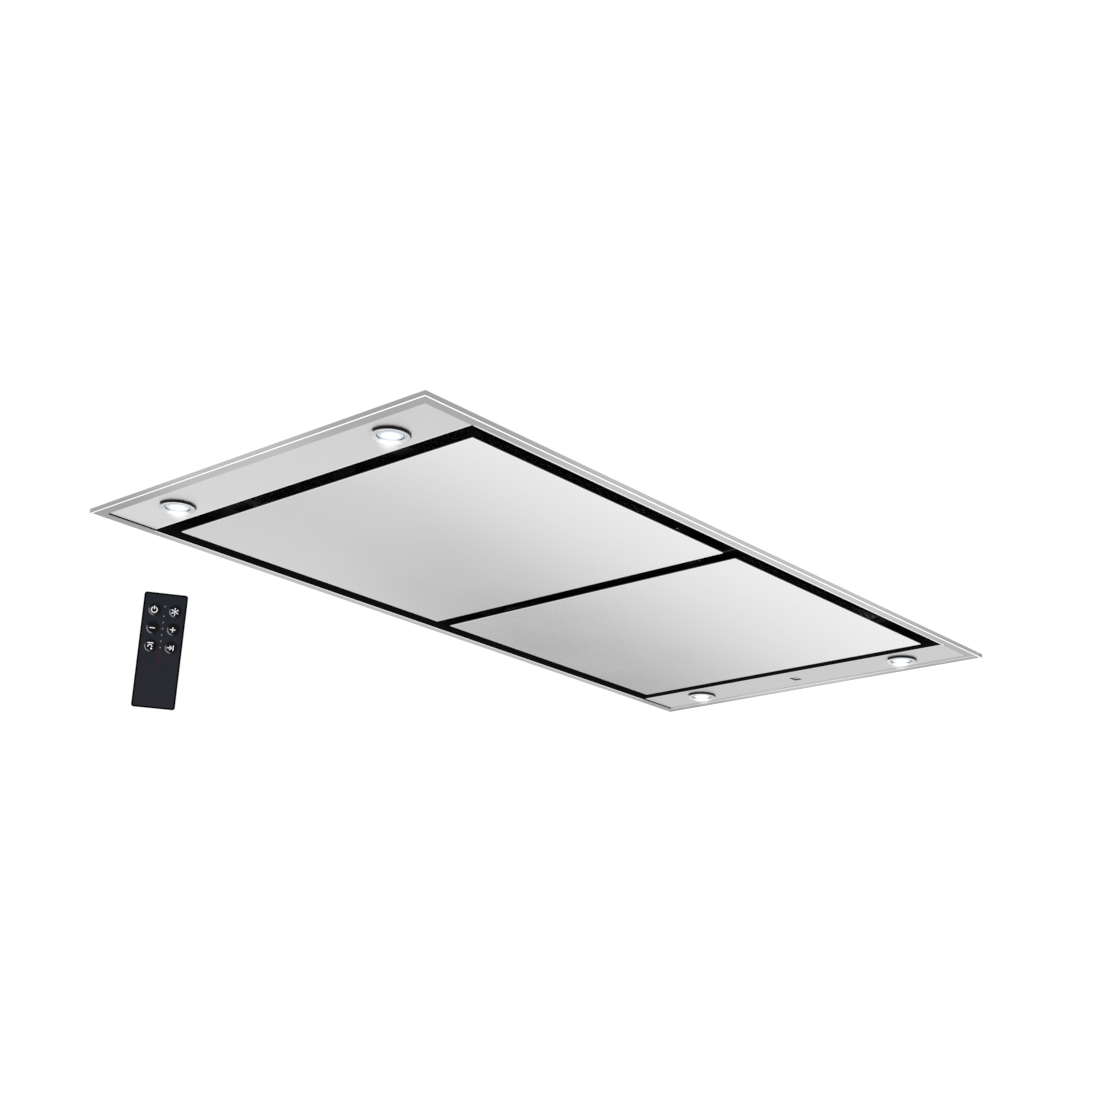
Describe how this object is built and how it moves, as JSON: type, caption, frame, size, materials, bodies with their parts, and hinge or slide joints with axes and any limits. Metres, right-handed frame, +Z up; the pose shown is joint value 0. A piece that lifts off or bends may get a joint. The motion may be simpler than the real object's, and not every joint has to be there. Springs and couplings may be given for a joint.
{
  "type": "ceiling range hood",
  "caption": "Flush ceiling range hood with hinged perimeter-suction panels, round downlights, inner blower, side duct collar and a push-button handset.",
  "frame": {"origin": "centre of the ceiling cut-out, on the lower surface of the ceiling", "axes": "+X along the long side, +Y towards the side with the duct collar, +Z up into the ceiling"},
  "size_m": [1.2649, 0.636, 0.5747],
  "materials": {
    "stainless": "brushed",
    "fascia_steel": "brushed",
    "panel_steel": "satin",
    "black_coat": "satin",
    "galvanised": "galvanised",
    "foam": "matte",
    "filter_mesh": "rough",
    "black_plastic": "matte",
    "grey_plastic": "matte",
    "steel_pin": "ground",
    "magnet": "satin",
    "blower_casing": "galvanised",
    "wheel": "galvanised",
    "motor_paint": "satin",
    "rubber": "matte",
    "circuit_board": "satin",
    "terminal_plastic": "matte",
    "capacitor_can": "satin",
    "white_plastic": "matte",
    "lamp_ring": "polished",
    "lamp_lens": "frosted",
    "lamp_board": "satin",
    "heat_sink": "satin",
    "receiver_window": "gloss",
    "handset_gloss": "gloss",
    "handset_button": "gloss",
    "handset_light": "gloss",
    "silicone": "matte",
    "battery": "satin"
  },
  "bodies": {
    "root": {"rim_frame": "stainless", "ceiling_seal": "foam", "left_end_fascia": "fascia_steel", "right_end_fascia": "fascia_steel", "suction_frame": "black_coat", "filter_partition": "black_coat", "body_box": "galvanised", "hanger_brackets": "galvanised", "fixing_screws": "steel_pin", "panel_hinge_brackets": "black_coat", "panel_magnets": "magnet", "blower_scroll": "blower_casing", "scroll_inlet_ring": "black_plastic", "motor": "motor_paint", "blower_buffers": "rubber", "outlet_collar": "black_plastic", "damper_pins": "steel_pin", "electronics_box": "galvanised", "electronics_cover": "galvanised", "control_board": "circuit_board", "terminal_block": "terminal_plastic", "led_driver": "white_plastic", "motor_capacitor": "capacitor_can", "cable_gland": "black_plastic", "ir_receiver": "grey_plastic", "lamp_bezels": "lamp_ring", "lamp_lenses": "lamp_lens", "lamp_led_boards": "lamp_board", "lamp_heat_sinks": "heat_sink", "lamp_spring_clips": "steel_pin", "handset_front_case": "handset_gloss", "handset_back_case": "handset_gloss", "handset_keymat": "silicone", "handset_circuit_board": "circuit_board", "handset_indicator_lights": "handset_light", "handset_ir_window": "receiver_window", "handset_batteries": "battery", "left_filter_frame": "black_coat", "left_filter_mesh": "filter_mesh", "right_filter_frame": "black_coat", "right_filter_mesh": "filter_mesh"},
    "wheel": {"impeller": "wheel", "motor_shaft": "steel_pin"},
    "left_panel": {"left_panel_face": "panel_steel", "left_panel_tray": "black_coat", "left_hinge_pins": "steel_pin"},
    "left_latch": {"left_filter_latch": "black_plastic"},
    "left_flap": {"left_damper_flap": "grey_plastic"},
    "right_panel": {"right_panel_face": "panel_steel", "right_panel_tray": "black_coat", "right_hinge_pins": "steel_pin"},
    "right_latch": {"right_filter_latch": "black_plastic"},
    "right_flap": {"right_damper_flap": "grey_plastic"},
    "button_power": {"handset_button_power": "handset_button"},
    "button_light": {"handset_button_light": "handset_button"},
    "button_minus": {"handset_button_minus": "handset_button"},
    "button_plus": {"handset_button_plus": "handset_button"},
    "button_timer": {"handset_button_timer": "handset_button"},
    "button_boost": {"handset_button_boost": "handset_button"},
    "battery_door": {"handset_battery_door": "handset_gloss"}
  },
  "joints": [
    {"name": "wheel_spin", "type": "hinge", "parent": "root", "child": "wheel", "pos_m": [0, -0.04, 0.15], "axis": [0, 0, 1], "continuous": true},
    {"name": "left_panel_hinge", "type": "hinge", "parent": "root", "child": "left_panel", "pos_m": [-0.0294, 0, 0.011], "axis": [0, -1, 0], "range_deg": [0, 90]},
    {"name": "left_latch_slide", "type": "slide", "parent": "root", "child": "left_latch", "axis": [1, 0, 0], "range_m": [0, 0.009], "stiffness_N_per_m": 400},
    {"name": "left_flap_hinge", "type": "hinge", "parent": "root", "child": "left_flap", "pos_m": [0.184, 0.306, 0.16], "axis": [0, 0, -1], "range_deg": [0, 80], "stiffness_Nm_per_rad": 0.01, "springref_deg": -11.46},
    {"name": "right_panel_hinge", "type": "hinge", "parent": "root", "child": "right_panel", "pos_m": [0.0294, 0, 0.011], "axis": [0, 1, 0], "range_deg": [0, 90]},
    {"name": "right_latch_slide", "type": "slide", "parent": "root", "child": "right_latch", "axis": [-1, 0, 0], "range_m": [0, 0.009], "stiffness_N_per_m": 400},
    {"name": "right_flap_hinge", "type": "hinge", "parent": "root", "child": "right_flap", "pos_m": [0.192, 0.306, 0.16], "axis": [0, 0, 1], "range_deg": [0, 80], "stiffness_Nm_per_rad": 0.01, "springref_deg": -11.46},
    {"name": "button_power_press", "type": "slide", "parent": "root", "child": "button_power", "axis": [0.5599, 0.7843, 0.2671], "range_m": [0, 0.0008], "stiffness_N_per_m": 200},
    {"name": "button_light_press", "type": "slide", "parent": "root", "child": "button_light", "axis": [0.5599, 0.7843, 0.2671], "range_m": [0, 0.0008], "stiffness_N_per_m": 200},
    {"name": "button_minus_press", "type": "slide", "parent": "root", "child": "button_minus", "axis": [0.5599, 0.7843, 0.2671], "range_m": [0, 0.0008], "stiffness_N_per_m": 200},
    {"name": "button_plus_press", "type": "slide", "parent": "root", "child": "button_plus", "axis": [0.5599, 0.7843, 0.2671], "range_m": [0, 0.0008], "stiffness_N_per_m": 200},
    {"name": "button_timer_press", "type": "slide", "parent": "root", "child": "button_timer", "axis": [0.5599, 0.7843, 0.2671], "range_m": [0, 0.0008], "stiffness_N_per_m": 200},
    {"name": "button_boost_press", "type": "slide", "parent": "root", "child": "button_boost", "axis": [0.5599, 0.7843, 0.2671], "range_m": [0, 0.0008], "stiffness_N_per_m": 200},
    {"name": "battery_door_slide", "type": "slide", "parent": "root", "child": "battery_door", "axis": [0.1471, 0.2231, -0.9636], "range_m": [0, 0.045]}
  ]
}
